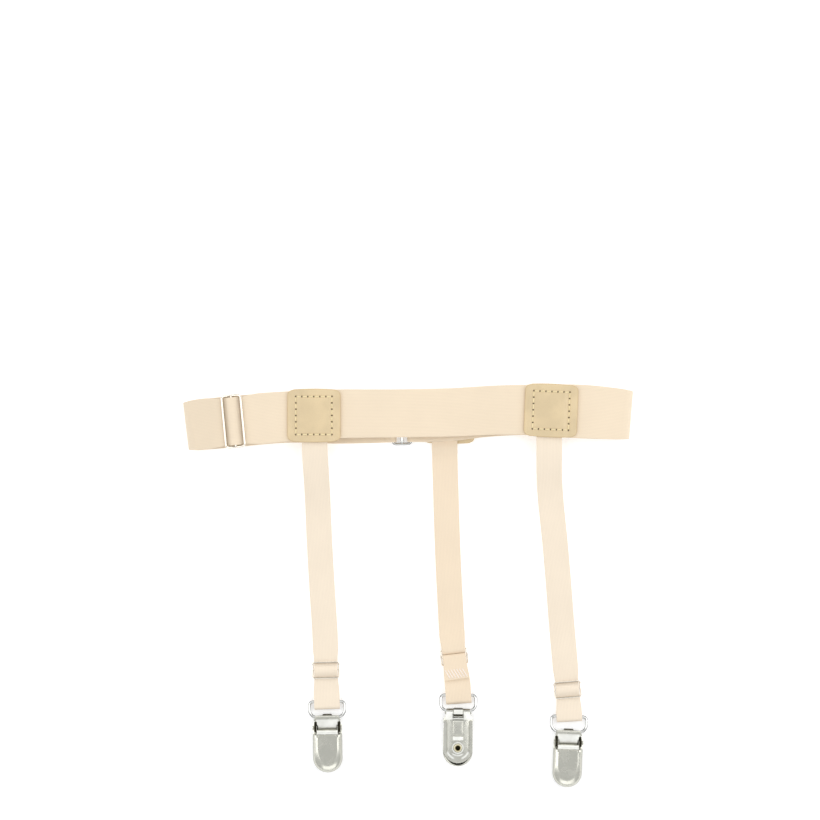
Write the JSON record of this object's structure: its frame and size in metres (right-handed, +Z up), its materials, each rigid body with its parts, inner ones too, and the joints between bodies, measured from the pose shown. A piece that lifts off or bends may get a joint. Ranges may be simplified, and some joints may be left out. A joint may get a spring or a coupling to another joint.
{
  "type": "shirt stay",
  "caption": "Shirt stay laid flat: elastic thigh loop with a wire slider and clasp, and elastic straps under leather patches, ending in hinged garter clips.",
  "frame": {"origin": "middle of the bounding box in plan, on the surface that the stay lies on", "axes": "+X along the band to the right as seen from above, +Y across the band away from the clips, +Z up"},
  "size_m": [0.2638, 0.2368, 0.0132],
  "materials": {
    "band_elastic": "matte woven elastic with fine ribs",
    "strap_elastic": "matte woven elastic with fine ribs",
    "patch_leather": "fine-grained satin leather",
    "wire_chrome": "polished chrome wire",
    "clip_nickel": "bright nickel plate",
    "eyelet_brass": "polished brass",
    "pad_rubber": "matte white rubber"
  },
  "bodies": {
    "root": {"thigh_band": "band_elastic", "band_slider": "wire_chrome", "clasp": "wire_chrome", "left_strap": "strap_elastic", "left_patch": "patch_leather", "left_strap_slider": "wire_chrome", "left_clip_ring": "wire_chrome", "left_clip_base": "clip_nickel", "left_clip_eyelet": "eyelet_brass", "left_grip_pad": "pad_rubber", "right_strap": "strap_elastic", "right_patch": "patch_leather", "right_strap_slider": "wire_chrome", "right_clip_ring": "wire_chrome", "right_clip_base": "clip_nickel", "right_clip_eyelet": "eyelet_brass", "right_grip_pad": "pad_rubber", "back_strap": "strap_elastic", "back_patch": "patch_leather", "back_strap_slider": "wire_chrome", "back_clip_ring": "wire_chrome", "back_clip_base": "clip_nickel", "back_clip_eyelet": "eyelet_brass", "back_grip_pad": "pad_rubber"},
    "left_lever": {"left_clip_lever": "clip_nickel"},
    "left_jaw": {"left_clip_jaw": "clip_nickel"},
    "right_lever": {"right_clip_lever": "clip_nickel"},
    "right_jaw": {"right_clip_jaw": "clip_nickel"},
    "back_lever": {"back_clip_lever": "clip_nickel"},
    "back_jaw": {"back_clip_jaw": "clip_nickel"}
  },
  "joints": [
    {"name": "left_lever_hinge", "type": "hinge", "parent": "root", "child": "left_lever", "pos_m": [-0.04736, -0.08324, 0.0047], "axis": [-0.9998, -0.0175, 0], "range_deg": [0, 90]},
    {"name": "left_jaw_hinge", "type": "hinge", "parent": "root", "child": "left_jaw", "pos_m": [-0.04747, -0.07734, 0.00285], "axis": [-0.9998, -0.0175, 0], "range_deg": [0, 10]},
    {"name": "right_lever_hinge", "type": "hinge", "parent": "root", "child": "right_lever", "pos_m": [0.09403, -0.09191, 0.0047], "axis": [-0.9993, 0.0384, 0], "range_deg": [0, 90]},
    {"name": "right_jaw_hinge", "type": "hinge", "parent": "root", "child": "right_jaw", "pos_m": [0.09426, -0.08601, 0.00285], "axis": [-0.9993, 0.0384, 0], "range_deg": [0, 10]},
    {"name": "back_lever_hinge", "type": "hinge", "parent": "root", "child": "back_lever", "pos_m": [0.02934, -0.07939, 0.0023], "axis": [0.9999, -0.0122, 0], "range_deg": [0, 90]},
    {"name": "back_jaw_hinge", "type": "hinge", "parent": "root", "child": "back_jaw", "pos_m": [0.02941, -0.07349, 0.00415], "axis": [0.9999, -0.0122, 0], "range_deg": [0, 10]}
  ],
  "couplings": [
    {"joint": "left_jaw_hinge", "follows": "left_lever_hinge", "ratio": 0.1},
    {"joint": "right_jaw_hinge", "follows": "right_lever_hinge", "ratio": 0.1},
    {"joint": "back_jaw_hinge", "follows": "back_lever_hinge", "ratio": 0.1}
  ]
}
